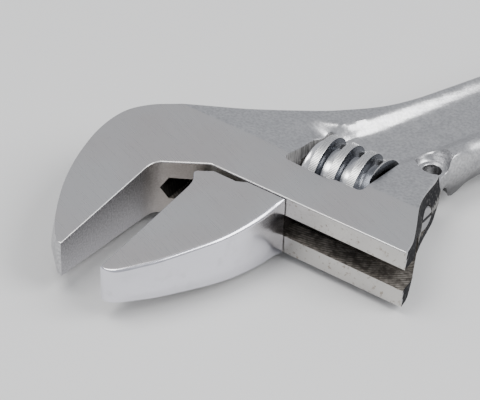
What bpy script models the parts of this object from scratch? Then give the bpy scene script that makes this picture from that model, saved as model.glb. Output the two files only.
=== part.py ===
"""Adjustable wrench: forged body, sliding jaw with rack, knurl worm, retaining pin and spring.

Frame: origin at the centre of the fixed jaw's gripping face, X the way the jaw opens,
Y from the jaws to the handle, Z through the thickness. Lengths below are in millimetres.
"""

import math

import bmesh
import bpy
import numpy as np
from mathutils import Vector
from mathutils.geometry import delaunay_2d_cdt

MM = 0.001

# Head: wedge-shaped in thickness, thickest at the ridge, thinner to the jaw tips and the handle.
FRONT_Y = 25.0
FRONT_HALF_THICKNESS = 8.0
JAW_TAPER = 0.0785
RIDGE_Y = 39.0
REAR_SLOPE = 0.16
RAIL_HALF_THICKNESS = 6.0
HEAD_END_X = 64.8
JAW_TIP_Y = -15.6
THROAT_Y = 15.9

# Handle: its own axis leans from +Y towards +X and passes through HANDLE_FOOT.
HANDLE_LEAN = math.radians(22.5)
HANDLE_FOOT_X = 23.8
HANDLE_AXIS_END = 204.0
HANDLE_END_RADIUS = 14.0
HANDLE_HALF_WIDTH = 11.6
HANDLE_WAIST_HALF_WIDTH = 10.9
HANDLE_WAIST_AT = 120.0
PANEL_HALF_THICKNESS = 4.2
PANEL_START_HALF_THICKNESS = 3.0
PANEL_HALF_WIDTH = 5.7
PANEL_MOUTH_HALF_WIDTH = 9.4
PANEL_START = 33.0
PANEL_END = 180.0
PANEL_RUN_OUT = 7.0
HANG_HOLE_RADIUS = 5.5

# Small hole for a lanyard, in a shallow pocket beside the head.
TETHER_X = 49.5
TETHER_Y = 61.4
TETHER_RADIUS = 2.3
TETHER_POCKET_RADIUS = 5.0
TETHER_WEB_HALF_THICKNESS = 2.2

# Channel for the jaw: a slot that opens into a round bore.
SLOT_HALF_WIDTH = 3.05
CHANNEL_END_X = 1.4
BORE_RADIUS = 4.5
BORE_Y = 33.8
SLIDE_CLEARANCE = 0.3

# Window, worm and its pin.
WINDOW_X0 = 24.0
WINDOW_X1 = 45.4
WINDOW_Y0 = 36.7
WINDOW_Y1 = 56.7
KNURL_Y = 46.4
KNURL_RADIUS = 10.0
KNURL_CORE_RADIUS = 7.4
KNURL_HUB_RADIUS = 8.0
KNURL_X0 = 26.6
KNURL_X1 = 44.6
THREAD_PITCH = 5.2
THREAD_TOP_WIDTH = 1.8
THREAD_ROOT_WIDTH = 2.4
THREAD_START_X = 28.3
THREAD_TURNS = 3.4
THREAD_PHASE = 0.0
PIN_RADIUS = 2.4
PIN_BLIND_X = 20.0
PIN_HEAD_RADIUS = 3.4
PIN_HEAD_X0 = 49.0
PIN_HEAD_X1 = 57.2
PIN_SLOT_WIDTH = 1.0
PIN_SLOT_DEPTH = 1.2
PIN_CLEARANCE = 0.3
SPRING_RADIUS = 3.9
SPRING_WIRE_RADIUS = 0.45
SPRING_TURNS = 3.0
SPRING_SEAT_RADIUS = 4.9
SPRING_SEAT_DEPTH = 4.2

# Sliding jaw, drawn at this opening.
OPENING = 11.8
JAW_BASE_X1 = 32.65
JAW_BASE_GAP = 0.3
ROD_X0 = 6.2
ROD_X1 = 42.4
RACK_TIP_Y = 38.0
RACK_ROOT_CLEARANCE = 0.35
RACK_SIDE_CLEARANCE = 0.35

EDGE_BREAK = 0.4
RAIL_ROUNDING = 1.6
FORGING_BULGE = 0.9


def half_thickness(y):
    """Half the thickness of the head or handle at y, as three sloping planes."""
    wedge = FRONT_HALF_THICKNESS + JAW_TAPER * (y - FRONT_Y)
    ridge = FRONT_HALF_THICKNESS + JAW_TAPER * (RIDGE_Y - FRONT_Y)
    rear = ridge - REAR_SLOPE * (y - RIDGE_Y)
    return max(min(wedge, rear), RAIL_HALF_THICKNESS if y > RIDGE_Y else wedge)


def rear_end_y():
    ridge = FRONT_HALF_THICKNESS + JAW_TAPER * (RIDGE_Y - FRONT_Y)
    return RIDGE_Y + (ridge - RAIL_HALF_THICKNESS) / REAR_SLOPE


def handle_point(along, across):
    """Point of the handle's own frame: along its axis, and across it from the axis."""
    c = math.cos(HANDLE_LEAN)
    s = math.sin(HANDLE_LEAN)
    return (
        HANDLE_FOOT_X + s * along + c * across,
        FRONT_Y + c * along - s * across,
    )


def smooth(points, steps):
    """Catmull-Rom curve through the points, in steps for each span."""
    p = np.array(points, float)
    p = np.vstack([2 * p[0] - p[1], p, 2 * p[-1] - p[-2]])
    out = []
    for i in range(1, len(p) - 2):
        for t in np.linspace(0, 1, steps, endpoint=False):
            a, b, c, d = p[i - 1 : i + 3]
            out.append(
                0.5
                * (
                    2 * b
                    + (c - a) * t
                    + (2 * a - 5 * b + 4 * c - d) * t**2
                    + (3 * b - a - 3 * c + d) * t**3
                )
            )
    out.append(p[-2])
    return [tuple(q) for q in out]


def with_crossings(ring, levels):
    """Adds a point wherever the closed outline crosses one of the y levels."""
    out = []
    for (a, b) in zip(ring, ring[1:] + ring[:1]):
        out.append(a)
        cuts = []
        for level in levels:
            if (a[1] - level) * (b[1] - level) < 0:
                cuts.append((level - a[1]) / (b[1] - a[1]))
        for t in sorted(cuts):
            mixed = [a[i] + (b[i] - a[i]) * t for i in range(len(a))]
            out.append(tuple(mixed))
    return out


def plate(name, ring, levels):
    """Closed mesh from an outline of (x, y, edge break, bulge), its faces sloped in planes."""
    ring = with_crossings(ring, levels)
    flat = np.array([q[:2] for q in ring])
    edge = np.roll(flat, -1, 0) - flat
    edge /= np.linalg.norm(edge, axis=1)[:, None]
    normal = np.stack([edge[:, 1], -edge[:, 0]], 1)
    miter = normal + np.roll(normal, 1, 0)
    miter /= np.maximum((miter * miter).sum(1), 0.6)[:, None] / 2
    breaks = np.array([q[2] for q in ring])[:, None]
    bulges = np.array([q[3] for q in ring])[:, None]
    inner = flat - miter * breaks
    outer = flat + miter * bulges
    kept = np.ones(len(ring), bool)
    for level in levels:
        held = np.abs(flat[:, 1] - level) < 1e-6
        inner[held, 1] = level
        # A point whose edge break reaches over a level gives way to the crossing beside it.
        kept &= held | ((flat[:, 1] - level) * (inner[:, 1] - level) > 0)
    flat, inner, outer, breaks = flat[kept], inner[kept], outer[kept], breaks[kept]
    top = [half_thickness(y) for y in inner[:, 1]]
    shoulder = [half_thickness(y) for y in flat[:, 1]] - breaks[:, 0]
    layers = [
        [(x, y, z) for (x, y), z in zip(inner, top)],
        [(x, y, z) for (x, y), z in zip(flat, shoulder)],
        [(x, y, 0.0) for x, y in outer],
        [(x, y, -z) for (x, y), z in zip(flat, shoulder)],
        [(x, y, -z) for (x, y), z in zip(inner, top)],
    ]
    count = len(flat)
    verts = [v for layer in layers for v in layer]
    faces = []
    for k in range(len(layers) - 1):
        for i in range(count):
            j = (i + 1) % count
            faces.append((k * count + i, (k + 1) * count + i, (k + 1) * count + j, k * count + j))
    edges = []
    for level in levels:
        on = [i for i in range(count) if abs(inner[i, 1] - level) < 1e-6]
        on.sort(key=lambda i: inner[i, 0])
        edges += [tuple(on[i : i + 2]) for i in range(0, len(on) - 1, 2)]
    cap = delaunay_2d_cdt([Vector(q) for q in inner], edges, [list(range(count))], 1, 1e-6)
    if len(cap[0]) != count:
        raise ValueError(name + ": the cap needs points that its outline doesn't have")
    source = [origins[0] for origins in cap[3]]
    for tri in cap[2]:
        a = [source[i] for i in tri]
        area = np.cross(inner[a[1]] - inner[a[0]], inner[a[2]] - inner[a[0]])
        if area < 0:
            a.reverse()
        faces.append(tuple(a))
        faces.append(tuple(4 * count + i for i in reversed(a)))
    return mesh_object(name, verts, faces)


def mesh_object(name, verts, faces, origin=(0.0, 0.0, 0.0)):
    """Object from points in millimetres, with its origin at the given point."""
    mesh = bpy.data.meshes.new(name)
    o = np.array(origin, float)
    mesh.from_pydata([tuple((np.array(v) - o) * MM) for v in verts], [], faces)
    mesh.update()
    work = bmesh.new()
    work.from_mesh(mesh)
    bmesh.ops.remove_doubles(work, verts=work.verts, dist=1e-7)
    bmesh.ops.recalc_face_normals(work, faces=work.faces)
    bmesh.ops.triangulate(work, faces=work.faces)
    work.to_mesh(mesh)
    work.free()
    obj = bpy.data.objects.new(name, mesh)
    obj.location = o * MM
    bpy.context.scene.collection.objects.link(obj)
    return obj


def loft(name, sections, origin=(0.0, 0.0, 0.0)):
    """Closed solid through rings of equal point counts, ends filled."""
    count = len(sections[0])
    verts = [v for ring in sections for v in ring]
    faces = [tuple(range(count)), tuple(range(len(verts) - 1, len(verts) - 1 - count, -1))]
    for k in range(len(sections) - 1):
        for i in range(count):
            j = (i + 1) % count
            faces.append((k * count + i, k * count + j, (k + 1) * count + j, (k + 1) * count + i))
    return mesh_object(name, verts, faces, origin)


def turned(name, profile, y, sides, origin=(0.0, 0.0, 0.0)):
    """Solid of revolution about a line along X through (y, z=0), from (x, radius) pairs."""
    angles = [2 * math.pi * (i + 0.5) / sides for i in range(sides)]
    rings = [[(x, y + r * math.cos(t), r * math.sin(t)) for t in angles] for x, r in profile]
    return loft(name, rings, origin)


def post(name, x, y, radius, z0, z1, sides):
    """Round cutter along Z."""
    angles = [2 * math.pi * i / sides for i in range(sides)]
    rings = [[(x + radius * math.cos(t), y + radius * math.sin(t), z) for t in angles] for z in (z0, z1)]
    return loft(name, rings)


def box(name, x0, x1, y0, y1, z0, z1):
    ring = [(x0, y0), (x1, y0), (x1, y1), (x0, y1)]
    return loft(name, [[(x, y, z) for x, y in ring] for z in (z0, z1)])


def cut(obj, cutter, operation="DIFFERENCE"):
    cutter.hide_render = True
    cutter.display_type = "WIRE"
    modifier = obj.modifiers.new(cutter.name, "BOOLEAN")
    modifier.operation = operation
    modifier.solver = "EXACT"
    modifier.object = cutter


def body_outline():
    """Outline with its edge breaks and bulges, counter-clockwise from the fixed jaw's tip."""
    end = handle_end()
    ring = [(0.0, JAW_TIP_Y, EDGE_BREAK, 0.0), (0.0, THROAT_Y, EDGE_BREAK, 0.0)]
    ring += [(x, y, EDGE_BREAK, 0.0) for x, y in ((0.4, 17.7), (1.4, 19.0), (11.6, FRONT_Y))]
    head = smooth(
        [(HEAD_END_X, FRONT_Y), (64.0, 29.0), (61.8, 34.0), (58.9, 40.0), (57.0, 46.0), (55.6, 53.5)], 2
    )
    ring += [(x, y, EDGE_BREAK, 0.0 if i == 0 else FORGING_BULGE) for i, (x, y) in enumerate(head)]
    lower = smooth([(54.4, 57.0), (53.4, 61.0), (54.4, 66.5), end["low"][0]], 2)
    ring += [(x, y, 0.8, FORGING_BULGE) for x, y in lower[:-1]]
    ring += [(x, y, RAIL_ROUNDING, FORGING_BULGE) for x, y in smooth(end["low"], 3)]
    ring += [(x, y, RAIL_ROUNDING, FORGING_BULGE) for x, y in end["arc"]]
    ring += [(x, y, RAIL_ROUNDING, FORGING_BULGE) for x, y in smooth(end["high"], 3)]
    back = smooth(
        [
            end["high"][-1], (30.2, 73.8), (22.0, 64.3), (14.5, 57.8), (5.5, 49.5), (-1.2, 44.0),
            (-7.4, RIDGE_Y), (-13.2, 34.6), (-17.0, 29.0), (-17.9, 20.9), (-16.3, 11.4),
            (-13.4, 2.7), (-9.6, -4.8), (-5.0, -11.8), (-1.2, JAW_TIP_Y),
        ],
        3,
    )
    ring += [(x, y, EDGE_BREAK if y < RIDGE_Y else 0.8, FORGING_BULGE) for x, y in back[1:-1]]
    ring.append((-1.2, JAW_TIP_Y, EDGE_BREAK, 0.0))
    return ring


def handle_end():
    """The handle's two sides and its round end, in order round the outline."""
    side = [
        (66.0, HANDLE_HALF_WIDTH), (84.0, HANDLE_HALF_WIDTH), (HANDLE_WAIST_AT, HANDLE_WAIST_HALF_WIDTH),
        (165.0, HANDLE_HALF_WIDTH), (188.0, 12.9),
    ]
    low = [handle_point(s, w) for s, w in side]
    high = [handle_point(s, -w) for s, w in reversed(side[1:])]
    turn = [math.pi / 2 * (1 - i / 6) for i in range(13)]
    arc = [
        handle_point(HANDLE_AXIS_END + HANDLE_END_RADIUS * math.cos(t), HANDLE_END_RADIUS * math.sin(t))
        for t in turn
    ]
    return {"low": low, "arc": arc, "high": high}


def panel_cutter(name, side):
    """Recess between the handle's rails: sloping sides, and a ramp at each end."""
    stations = [
        (PANEL_START - 6.0, RAIL_HALF_THICKNESS + 1.2),
        (PANEL_START, PANEL_START_HALF_THICKNESS),
        (PANEL_START + 30.0, PANEL_HALF_THICKNESS),
        (PANEL_END, PANEL_HALF_THICKNESS),
        (PANEL_END + PANEL_RUN_OUT, RAIL_HALF_THICKNESS + 0.6),
    ]
    rings = []
    flare = (PANEL_MOUTH_HALF_WIDTH - PANEL_HALF_WIDTH) / (RAIL_HALF_THICKNESS - PANEL_HALF_THICKNESS)
    for along, z in stations:
        top = RAIL_HALF_THICKNESS + 3.0
        wide = PANEL_HALF_WIDTH + flare * (top - PANEL_HALF_THICKNESS)
        corners = [(-PANEL_HALF_WIDTH, z), (PANEL_HALF_WIDTH, z), (wide, top), (-wide, top)]
        rings.append([(*handle_point(along, w), side * h) for w, h in corners])
    return loft(name, rings)


def build_body():
    body = plate("body", body_outline(), (RIDGE_Y, rear_end_y()))
    deep = RAIL_HALF_THICKNESS + 6.0
    for side, tag in ((1.0, "top"), (-1.0, "under")):
        cut(body, panel_cutter("cut_panel_" + tag, side))
        pocket = sorted((side * TETHER_WEB_HALF_THICKNESS, side * deep))
        cut(body, post("cut_pocket_" + tag, TETHER_X, TETHER_Y, TETHER_POCKET_RADIUS, *pocket, 28))
    cut(body, box("cut_window", WINDOW_X0, WINDOW_X1, WINDOW_Y0, WINDOW_Y1, -deep, deep))
    past = HEAD_END_X + 5.0
    slot = box(
        "cut_slot", CHANNEL_END_X, past, FRONT_Y - 9.0, BORE_Y, -SLOT_HALF_WIDTH, SLOT_HALF_WIDTH
    )
    cut(body, slot)
    cut(body, turned("cut_bore", [(CHANNEL_END_X, BORE_RADIUS), (past, BORE_RADIUS)], BORE_Y, 40))
    shank = PIN_RADIUS + PIN_CLEARANCE
    head = PIN_HEAD_RADIUS + PIN_CLEARANCE
    bore = [(PIN_BLIND_X, shank), (PIN_HEAD_X0, shank), (PIN_HEAD_X0, head), (past, head)]
    cut(body, turned("cut_pin", bore, KNURL_Y, 32))
    hang = handle_point(HANDLE_AXIS_END, 0.0)
    cut(body, post("cut_hang", *hang, HANG_HOLE_RADIUS, -deep, deep, 36))
    cut(body, post("cut_tether", TETHER_X, TETHER_Y, TETHER_RADIUS, -deep, deep, 24))
    return body


def build_jaw():
    base_y = FRONT_Y - JAW_BASE_GAP
    ring = [(OPENING, y, EDGE_BREAK, 0.0) for y in (-16.3, 16.0)]
    nose = [(11.5, 18.0), (10.8, 19.3), (10.0, 20.4), (10.1, 21.3), (13.6, 23.5), (19.8, 23.5)]
    ring += [(x, y, EDGE_BREAK, 0.0) for x, y in nose]
    ring += [(22.3, base_y, EDGE_BREAK, 0.0), (JAW_BASE_X1, base_y, EDGE_BREAK, 0.0)]
    outer = smooth(
        [(JAW_BASE_X1, base_y - 0.6), (31.8, 16.0), (30.3, 10.0), (26.3, 0.8), (21.6, -7.7), (17.0, -14.1)], 3
    )
    ring += [(x, y, 0.7, 0.0 if y > base_y - 1.5 else FORGING_BULGE) for x, y in outer]
    ring += [(15.4, -15.8, 0.7, 0.4), (13.8, -16.5, 0.7, 0.0), (12.5, -16.6, EDGE_BREAK, 0.0)]
    jaw = plate("movable_jaw", ring, ())
    rod_radius = BORE_RADIUS - SLIDE_CLEARANCE
    neck_z = SLOT_HALF_WIDTH - SLIDE_CLEARANCE
    neck = box("add_neck", 14.0, JAW_BASE_X1 - 0.4, FRONT_Y - 8.0, BORE_Y - 1.0, -neck_z, neck_z)
    cut(jaw, neck, "UNION")
    rod = [(ROD_X0, rod_radius - 0.5), (ROD_X0 + 0.5, rod_radius)]
    rod += [(ROD_X1 - 0.5, rod_radius), (ROD_X1, rod_radius - 0.5)]
    cut(jaw, turned("add_rod", rod, BORE_Y, 40), "UNION")
    # A wider rod is trimmed flat where it would reach the worm's hubs.
    tip_y = KNURL_Y - KNURL_HUB_RADIUS - RACK_ROOT_CLEARANCE
    cut(jaw, box("cut_rack_tip", ROD_X0 - 1.0, ROD_X1 + 1.0, tip_y, KNURL_Y, -6.0, 6.0))
    root_y = KNURL_Y - KNURL_RADIUS - RACK_ROOT_CLEARANCE
    mesh_x = THREAD_START_X + THREAD_PITCH * ((math.pi - THREAD_PHASE) / (2 * math.pi))
    lean = THREAD_PITCH / (2 * math.pi * (KNURL_RADIUS - 1.0))
    first = math.floor((ROD_X0 - mesh_x) / THREAD_PITCH)
    last = math.floor((ROD_X1 - mesh_x) / THREAD_PITCH)
    for k in range(first, last + 1):
        x = mesh_x + k * THREAD_PITCH
        low = THREAD_TOP_WIDTH / 2 + RACK_SIDE_CLEARANCE
        high = THREAD_ROOT_WIDTH / 2 + RACK_SIDE_CLEARANCE + 0.3
        rings = []
        for z in (-6.0, 6.0):
            shift = x - lean * z
            corners = [(-low, root_y), (low, root_y), (high, RACK_TIP_Y + 2), (-high, RACK_TIP_Y + 2)]
            rings.append([(shift + dx, y, z) for dx, y in corners])
        cut(jaw, loft("cut_tooth_%02d" % (k - first), rings))
    return jaw


def build_knurl():
    seat = SPRING_SEAT_RADIUS
    hole = PIN_RADIUS + PIN_CLEARANCE
    blank = [
        (KNURL_X0, KNURL_HUB_RADIUS - 0.5), (KNURL_X0 + 0.5, KNURL_HUB_RADIUS),
        (KNURL_X0 + 1.9, KNURL_CORE_RADIUS), (KNURL_X1 - 3.4, KNURL_CORE_RADIUS),
        (KNURL_X1 - 0.5, KNURL_HUB_RADIUS), (KNURL_X1, KNURL_HUB_RADIUS - 0.5),
    ]
    origin = ((KNURL_X0 + KNURL_X1) / 2, KNURL_Y, 0.0)
    knurl = turned("knurl", blank, KNURL_Y, 48, origin)
    steps = 36
    rings = []
    low = KNURL_CORE_RADIUS - 1.0
    for i in range(int(THREAD_TURNS * steps) + 1):
        t = THREAD_PHASE + 2 * math.pi * i / steps
        x = THREAD_START_X + THREAD_PITCH * i / steps
        c = math.cos(t)
        s = math.sin(t)
        half_root = THREAD_ROOT_WIDTH / 2
        half_top = THREAD_TOP_WIDTH / 2
        points = ((-half_root, low), (half_root, low), (half_top, KNURL_RADIUS), (-half_top, KNURL_RADIUS))
        rings.append([(x + dx, KNURL_Y + r * c, r * s) for dx, r in points])
    cut(knurl, loft("add_thread", rings, origin), "UNION")
    wide = KNURL_RADIUS + 2.0
    past = KNURL_X1 + 2 * THREAD_PITCH
    cut(knurl, box("cut_thread_end", KNURL_X1, past, KNURL_Y - wide, KNURL_Y + wide, -wide, wide))
    bore = [(KNURL_X0 - 1.0, hole), (KNURL_X1 - SPRING_SEAT_DEPTH, hole)]
    bore += [(KNURL_X1 - SPRING_SEAT_DEPTH, seat), (KNURL_X1 + 1.0, seat)]
    cut(knurl, turned("cut_knurl_bore", bore, KNURL_Y, 32, origin))
    return knurl


def build_pin():
    reach = PIN_BLIND_X + PIN_CLEARANCE
    profile = [
        (reach, PIN_RADIUS - 0.4), (reach + 0.4, PIN_RADIUS), (PIN_HEAD_X0 + PIN_CLEARANCE, PIN_RADIUS),
        (PIN_HEAD_X0 + PIN_CLEARANCE, PIN_HEAD_RADIUS), (PIN_HEAD_X1 - 0.3, PIN_HEAD_RADIUS),
        (PIN_HEAD_X1, PIN_HEAD_RADIUS - 0.3),
    ]
    origin = ((reach + PIN_HEAD_X1) / 2, KNURL_Y, 0.0)
    pin = turned("knurl_pin", profile, KNURL_Y, 32, origin)
    half = PIN_SLOT_WIDTH / 2
    wide = PIN_HEAD_RADIUS + 1.0
    slot = box(
        "cut_pin_slot", PIN_HEAD_X1 - PIN_SLOT_DEPTH, PIN_HEAD_X1 + 1.0,
        KNURL_Y - wide, KNURL_Y + wide, -half, half,
    )
    cut(pin, slot)
    return pin


def build_spring():
    """Compression spring round the pin, in the seat of the worm's right end."""
    start = KNURL_X1 - SPRING_SEAT_DEPTH + SPRING_WIRE_RADIUS + PIN_CLEARANCE
    finish = WINDOW_X1 - SPRING_WIRE_RADIUS - 0.15
    steps = 24
    total = int(SPRING_TURNS * steps)
    rings = []
    for i in range(total + 1):
        t = 2 * math.pi * i / steps
        x = start + (finish - start) * i / total
        ring = []
        for k in range(8):
            a = 2 * math.pi * k / 8
            r = SPRING_RADIUS + SPRING_WIRE_RADIUS * math.cos(a)
            dx = SPRING_WIRE_RADIUS * math.sin(a)
            ring.append((x + dx, KNURL_Y + r * math.cos(t), r * math.sin(t)))
        rings.append(ring)
    origin = ((start + finish) / 2, KNURL_Y, 0.0)
    return loft("knurl_spring", rings, origin)


def material(name, colour, roughness, metallic):
    made = bpy.data.materials.new(name)
    made.use_nodes = True
    shader = made.node_tree.nodes["Principled BSDF"]
    shader.inputs["Base Color"].default_value = (*colour, 1.0)
    shader.inputs["Roughness"].default_value = roughness
    shader.inputs["Metallic"].default_value = metallic
    return made


def finish(obj, colour, roughness, metallic):
    obj.data.materials.append(material(obj.name + "_finish", colour, roughness, metallic))
    for face in obj.data.polygons:
        face.use_smooth = True
    obj.data.set_sharp_from_angle(angle=math.radians(30))


def main():
    for obj in list(bpy.data.objects):
        bpy.data.objects.remove(obj)
    finish(build_body(), (0.56, 0.56, 0.57), 0.32, 1.0)
    finish(build_jaw(), (0.62, 0.62, 0.63), 0.25, 1.0)
    finish(build_knurl(), (0.75, 0.75, 0.76), 0.15, 1.0)
    finish(build_pin(), (0.3, 0.3, 0.31), 0.4, 1.0)
    finish(build_spring(), (0.45, 0.45, 0.46), 0.3, 1.0)


main()
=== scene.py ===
"""Finished look of an adjustable wrench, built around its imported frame.

The frame's axes: X is the way the jaw opens, Y runs from the jaws to the handle and Z is through
the thickness. Sizes are in millimetres and become metres when a mesh is written.
"""

import logging
import math
from dataclasses import dataclass, field
from enum import Enum, IntEnum

import bpy
import numpy as np
from mathutils import Matrix, Vector
from mathutils.geometry import delaunay_2d_cdt

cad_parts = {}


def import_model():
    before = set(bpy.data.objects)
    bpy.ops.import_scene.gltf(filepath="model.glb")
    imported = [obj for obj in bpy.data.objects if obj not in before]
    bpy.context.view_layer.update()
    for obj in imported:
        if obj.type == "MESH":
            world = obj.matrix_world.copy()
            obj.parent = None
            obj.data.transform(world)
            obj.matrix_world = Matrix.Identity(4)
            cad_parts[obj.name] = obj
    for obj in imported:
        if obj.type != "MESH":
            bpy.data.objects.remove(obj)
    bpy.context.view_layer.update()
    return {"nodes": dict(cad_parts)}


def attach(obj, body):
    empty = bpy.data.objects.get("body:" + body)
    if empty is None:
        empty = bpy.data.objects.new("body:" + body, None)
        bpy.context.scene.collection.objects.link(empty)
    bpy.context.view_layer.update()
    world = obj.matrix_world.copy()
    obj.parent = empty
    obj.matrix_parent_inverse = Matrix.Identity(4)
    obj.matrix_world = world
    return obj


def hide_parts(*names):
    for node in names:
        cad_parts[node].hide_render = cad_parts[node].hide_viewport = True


LOG = logging.getLogger("wrench")
MM = 0.001
# Spacing of an outline's points in millimetres: on long runs, on tighter ones and in small curves.
LONG, TIGHT, FINE = 0.9, 0.8, 0.6
# Edges bent by less than this many degrees are shaded smooth, on forged pieces and on the worm.
SMOOTH, WORM_SMOOTH = 32.0, 30.0

Array = np.ndarray
Point = tuple[float, float]
Triple = tuple[float, float, float]
Colour = Triple
Piece = bpy.types.Object
Socket = bpy.types.NodeSocket


# ---------------------------------------------------------------- curves and loops


def smooth_curve(points: list[Point], spacing: float) -> Array:
    """Catmull-Rom curve through points: each span is a cubic whose end slopes are half the chord
    between the neighbouring points.

    Args:
        points: the points it passes through, in order.
        spacing: about how far apart the returned points lie.

    Returns:
        The points of the curve, ends included, one row each.
    """
    p = np.array(points, float)
    p = np.vstack([2 * p[0] - p[1], p, 2 * p[-1] - p[-2]])
    out = []
    for a, b, c, d in zip(p[:-3], p[1:-2], p[2:-1], p[3:]):
        count = max(2, int(round(np.linalg.norm(c - b) / spacing)))
        t = np.linspace(0, 1, count, endpoint=False)[:, None]
        cubic = 3 * b - a - 3 * c + d
        out.append(0.5 * (2 * b + (c - a) * t + (2 * a - 5 * b + 4 * c - d) * t**2 + cubic * t**3))
    out.append(p[-2:-1])
    return np.vstack(out)


def straight(a: Point, b: Point, spacing: float) -> Array:
    """Evenly spaced points of a straight line, ends included.

    Args:
        a: first end.
        b: last end.
        spacing: about how far apart the points lie.

    Returns:
        The points, one row each.
    """
    a_, b_ = np.array(a, float), np.array(b, float)
    count = max(2, int(round(np.linalg.norm(b_ - a_) / spacing)) + 1)
    return a_ + (b_ - a_) * np.linspace(0, 1, count)[:, None]


def circle(x: float, y: float, radius: float, count: int) -> Array:
    """Points of a circle, counter-clockwise: centre plus radius times (cosine, sine).

    Args:
        x: centre along X.
        y: centre along Y.
        radius: its radius.
        count: how many points.

    Returns:
        The points, one row each.
    """
    t = np.linspace(0, 2 * np.pi, count, endpoint=False)
    return np.stack([x + radius * np.cos(t), y + radius * np.sin(t)], 1)


def ease(low: float, high: float, value: Array) -> Array:
    """Smooth step: 0 below low, 1 above high, and 3t squared less 2t cubed between.

    Args:
        low: where it leaves 0.
        high: where it reaches 1.
        value: the numbers to map.

    Returns:
        The mapped numbers.
    """
    t = np.clip((value - low) / (high - low), 0, 1)
    return t * t * (3 - 2 * t)


def within(value: Array, low: float, high: float) -> Array:
    """Where a value lies between two limits."""
    return (value > low) & (value < high)


@dataclass(frozen=True)
class Blend:
    """Value that eases from one number to another along a stretch."""

    before: float
    after: float
    low: float
    high: float

    def at(self, place: Array) -> Array:
        """The value at each place."""
        return self.before + (self.after - self.before) * ease(self.low, self.high, place)


def soft_max(a: Array, b: Array, blend: float) -> Array:
    """The larger of two heights, rounded where they meet: half of a + b + sqrt((a-b)^2 + blend^2)."""
    return 0.5 * (a + b + np.sqrt((a - b) ** 2 + blend**2))


def inside(points: Array, loop: Array) -> Array:
    """Which points lie in a closed loop, by counting how often a ray along X crosses it.

    Args:
        points: points to test, one row each.
        loop: the loop's corners in order.

    Returns:
        True for each point inside.
    """
    a, b = loop, np.roll(loop, -1, 0)
    x, y = points[:, :1], points[:, 1:2]
    spans = (a[:, 1] > y) != (b[:, 1] > y)
    rise = np.where(a[:, 1] == b[:, 1], 1.0, b[:, 1] - a[:, 1])
    crossing = a[:, 0] + (y - a[:, 1]) * (b[:, 0] - a[:, 0]) / rise
    return (np.sum(spans & (x < crossing), 1) % 2) == 1


def distance_to(points: Array, loop: Array) -> Array:
    """Distance from each point to the nearest corner of a densely drawn loop.

    Args:
        points: points to measure from, one row each.
        loop: the loop's points, one row each.

    Returns:
        The distances.
    """
    best = np.full(len(points), 1e9)
    for part in np.array_split(loop, max(1, len(loop) // 64)):
        gap = np.linalg.norm(points[:, None, :] - part[None, :, :], axis=2).min(1)
        best = np.minimum(best, gap)
    return best


@dataclass
class Loop:
    """Closed outline of a plate or of a hole in it.

    Solid lies on the left of the way round, so an outline runs counter-clockwise and a hole
    clockwise.
    """

    points: Array
    rounding: Array
    bulge: Array

    def outward(self) -> Array:
        """Direction out of the solid at each point, lengthened at corners so that edges stay parallel.

        Returns:
            The directions, one row each.
        """
        edge = np.roll(self.points, -1, 0) - self.points
        edge /= np.linalg.norm(edge, axis=1)[:, None]
        normal = np.stack([edge[:, 1], -edge[:, 0]], 1)
        miter = normal + np.roll(normal, 1, 0)
        return miter / (np.maximum((miter * miter).sum(1), 0.8)[:, None] / 2)


class SideForm(Enum):
    """How a plate's side runs between its two faces."""

    DRAFTED = "two flat drafts that meet in a trimmed band"
    CROWNED = "one round crown"

    def swell(self, height: Array) -> Array:
        """Share of the bulge at a height, from 1 at the middle to 0 at the faces.

        Args:
            height: -1 at the lower face's edge to 1 at the upper one's.

        Returns:
            The share of the bulge.
        """
        if self is SideForm.DRAFTED:
            return np.minimum(1.0, (1 - np.abs(height)) / 0.86)
        return 1 - height**2


# ---------------------------------------------------------------- meshes


def write_mesh(name: str, verts: Array, faces: list[Array], smooth_below: float = SMOOTH) -> Piece:
    """Makes an object from millimetre points and index arrays of triangles or quads.

    Args:
        name: the object's name.
        verts: points, one row each.
        faces: arrays of faces, each of three or four columns.
        smooth_below: edges bent by less than this many degrees are shaded smooth.

    Returns:
        The object, linked to the scene, at the origin.
    """
    mesh = bpy.data.meshes.new(name)
    sizes = np.concatenate([np.full(len(f), f.shape[1]) for f in faces])
    corners = np.concatenate([f.ravel() for f in faces]).astype(np.int32)
    starts = np.concatenate([[0], np.cumsum(sizes)[:-1]]).astype(np.int32)
    mesh.vertices.add(len(verts))
    mesh.vertices.foreach_set("co", (verts * MM).astype(np.float32).ravel())
    mesh.loops.add(len(corners))
    mesh.loops.foreach_set("vertex_index", corners)
    mesh.polygons.add(len(sizes))
    mesh.polygons.foreach_set("loop_start", starts)
    mesh.update(calc_edges=True)
    mesh.validate()
    obj = bpy.data.objects.new(name, mesh)
    bpy.context.scene.collection.objects.link(obj)
    shade(obj, smooth_below)
    return obj


def shade(obj: Piece, smooth_below: float) -> None:
    """Shades an object smooth, with sharp edges where faces bend by more than an angle in degrees.

    Args:
        obj: the object to shade.
        smooth_below: the angle in degrees.
    """
    mesh = obj.data
    mesh.polygons.foreach_set("use_smooth", np.ones(len(mesh.polygons), bool))
    mesh.set_sharp_from_angle(angle=math.radians(smooth_below))


def grid_quads(rows: int, columns: int, wrap: bool) -> Array:
    """Quads of a grid of points stored row by row.

    Args:
        rows: number of rows.
        columns: points in a row.
        wrap: whether the last point of a row joins the first.

    Returns:
        One row of four indices for each quad.
    """
    i = np.arange(rows - 1)[:, None] * columns
    j = np.arange(columns if wrap else columns - 1)[None, :]
    k = (j + 1) % columns
    return np.stack([i + j, i + k, i + columns + k, i + columns + j], -1).reshape(-1, 4)


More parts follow.
